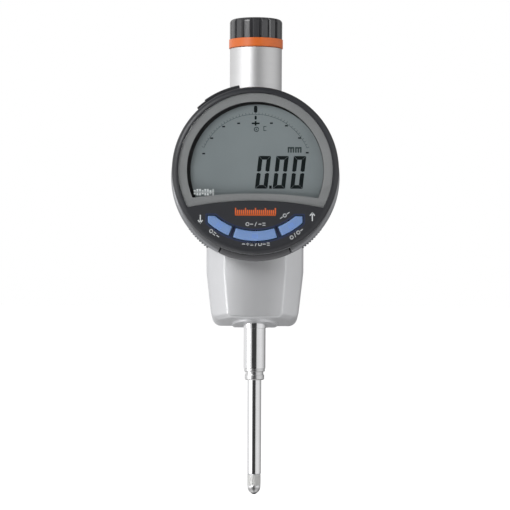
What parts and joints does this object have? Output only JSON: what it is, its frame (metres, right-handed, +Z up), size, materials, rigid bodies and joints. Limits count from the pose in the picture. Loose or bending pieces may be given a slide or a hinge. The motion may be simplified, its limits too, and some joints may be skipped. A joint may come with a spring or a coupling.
{
  "type": "dial indicator",
  "caption": "Electronic dial indicator: turning round display with three keys, clamping stem, sprung 25 mm spindle, ball contact, sleeve with screw cap and rear fixing lug.",
  "frame": {"origin": "on the spindle's axis at the stem's shoulder, the pad under the casting", "axes": "+Z up along the spindle away from the contact point, the display faces -Y, +X to the right seen from the display"},
  "size_m": [0.0599, 0.0509, 0.1735],
  "materials": {
    "cast_metal": "satin, bead-blasted",
    "stem_steel": "ground and polished",
    "nose_steel": "turned",
    "seal_rubber": "matte",
    "bush_bronze": "machined",
    "sleeve_metal": "satin turned",
    "spring_steel": "drawn wire",
    "rail_steel": "ground",
    "screw_steel": "machined",
    "board_green": "solder mask",
    "chip_black": "moulded",
    "flex_amber": "polyimide film",
    "hub_steel": "turned",
    "back_metal": "satin",
    "spindle_steel": "hardened and ground",
    "contact_steel": "knurled",
    "carbide": "polished carbide",
    "carrier_alloy": "machined",
    "scale_film": "plated scale",
    "case_metal": "metallic satin",
    "cover_black": "semi-gloss moulded",
    "window_clear": "clear",
    "mask_grey": "printed",
    "frame_black": "moulded",
    "lcd_grey": "reflective liquid crystal",
    "reflector_silver": "foil",
    "strip_rubber": "elastomer",
    "socket_ivory": "moulded",
    "dome_steel": "stamped",
    "contact_gold": "gold-plated",
    "socket_black": "moulded",
    "washer_white": "fluoropolymer",
    "key_blue": "silicone rubber",
    "tray_grey": "moulded",
    "cell_steel": "plated",
    "ring_orange": "moulded",
    "cap_black": "moulded"
  },
  "bodies": {
    "body": {"body_housing": "cast_metal", "stem": "stem_steel", "stem_nose": "nose_steel", "wiper_seal": "seal_rubber", "lower_guide_bush": "bush_bronze", "upper_guide_bush": "bush_bronze", "spindle_tube": "sleeve_metal", "bumper": "seal_rubber", "return_spring": "spring_steel", "guide_rail": "rail_steel", "rail_screws": "screw_steel", "reader_board": "board_green", "reader_chip": "chip_black", "reader_screws": "screw_steel", "flex_cable": "flex_amber", "turning_hub": "hub_steel", "retaining_ring": "hub_steel", "hub_screws": "screw_steel", "back_gasket": "seal_rubber", "lug_back_plate": "back_metal", "back_screws": "screw_steel"},
    "spindle_unit": {"spindle": "spindle_steel", "contact_point": "contact_steel", "contact_ball": "carbide", "scale_carrier": "carrier_alloy", "scale_strip": "scale_film", "carrier_screws": "screw_steel", "guide_pin": "rail_steel", "end_screw": "screw_steel"},
    "display_unit": {"display_case": "case_metal", "case_seal": "seal_rubber", "case_screws": "screw_steel", "friction_washer": "washer_white", "front_cover": "cover_black", "window": "window_clear", "window_mask": "mask_grey", "lcd_frame": "frame_black", "lcd_glass": "lcd_grey", "lcd_reflector": "reflector_silver", "lcd_strips": "strip_rubber", "main_board": "board_green", "processor": "chip_black", "board_parts": "chip_black", "flex_socket": "socket_ivory", "key_domes": "dome_steel", "minus_contact": "contact_gold", "plus_contact": "contact_gold", "data_socket": "socket_black", "data_pins": "contact_gold"},
    "left_key": {"key_left": "key_blue"},
    "centre_key": {"key_centre": "key_blue"},
    "right_key": {"key_right": "key_blue"},
    "battery_drawer": {"battery_tray": "tray_grey", "battery_cell": "cell_steel"},
    "data_port_cover": {"port_cover": "cover_black"},
    "sleeve_ring": {"cap_ring": "ring_orange"},
    "sleeve_cap": {"top_cap": "cap_black"}
  },
  "joints": [
    {"name": "spindle_travel", "type": "slide", "parent": "body", "child": "spindle_unit", "axis": [0, 0, 1], "range_m": [0, 0.0254], "stiffness_N_per_m": 30, "springref_m": -0.03, "deforming": ["return_spring"]},
    {"name": "display_turn", "type": "hinge", "parent": "body", "child": "display_unit", "pos_m": [0, -0.0115, 0.05655], "axis": [0, 1, 0], "range_deg": [-165, 165]},
    {"name": "key_left_press", "type": "slide", "parent": "display_unit", "child": "left_key", "axis": [0, 1, 0], "range_m": [0, 0.0004], "stiffness_N_per_m": 2000, "springref_m": -0.0004},
    {"name": "key_centre_press", "type": "slide", "parent": "display_unit", "child": "centre_key", "axis": [0, 1, 0], "range_m": [0, 0.0004], "stiffness_N_per_m": 2000, "springref_m": -0.0004},
    {"name": "key_right_press", "type": "slide", "parent": "display_unit", "child": "right_key", "axis": [0, 1, 0], "range_m": [0, 0.0004], "stiffness_N_per_m": 2000, "springref_m": -0.0004},
    {"name": "battery_drawer_slide", "type": "slide", "parent": "display_unit", "child": "battery_drawer", "axis": [0, 0, -1], "range_m": [0, 0.016]},
    {"name": "port_cover_pull", "type": "slide", "parent": "display_unit", "child": "data_port_cover", "axis": [-0.3971, 0, 0.9178], "range_m": [0, 0.008]},
    {"name": "cap_lift", "type": "slide", "parent": "body", "child": "sleeve_ring", "axis": [0, 0, 1], "range_m": [0, 0.005]},
    {"name": "cap_turn", "type": "hinge", "parent": "sleeve_ring", "child": "sleeve_cap", "pos_m": [0, 0, 0.105], "axis": [0, 0, 1], "range_deg": [0, 1800]}
  ],
  "couplings": [
    {"joint": "cap_lift", "follows": "cap_turn", "m_per_rad": 0.00015915}
  ]
}
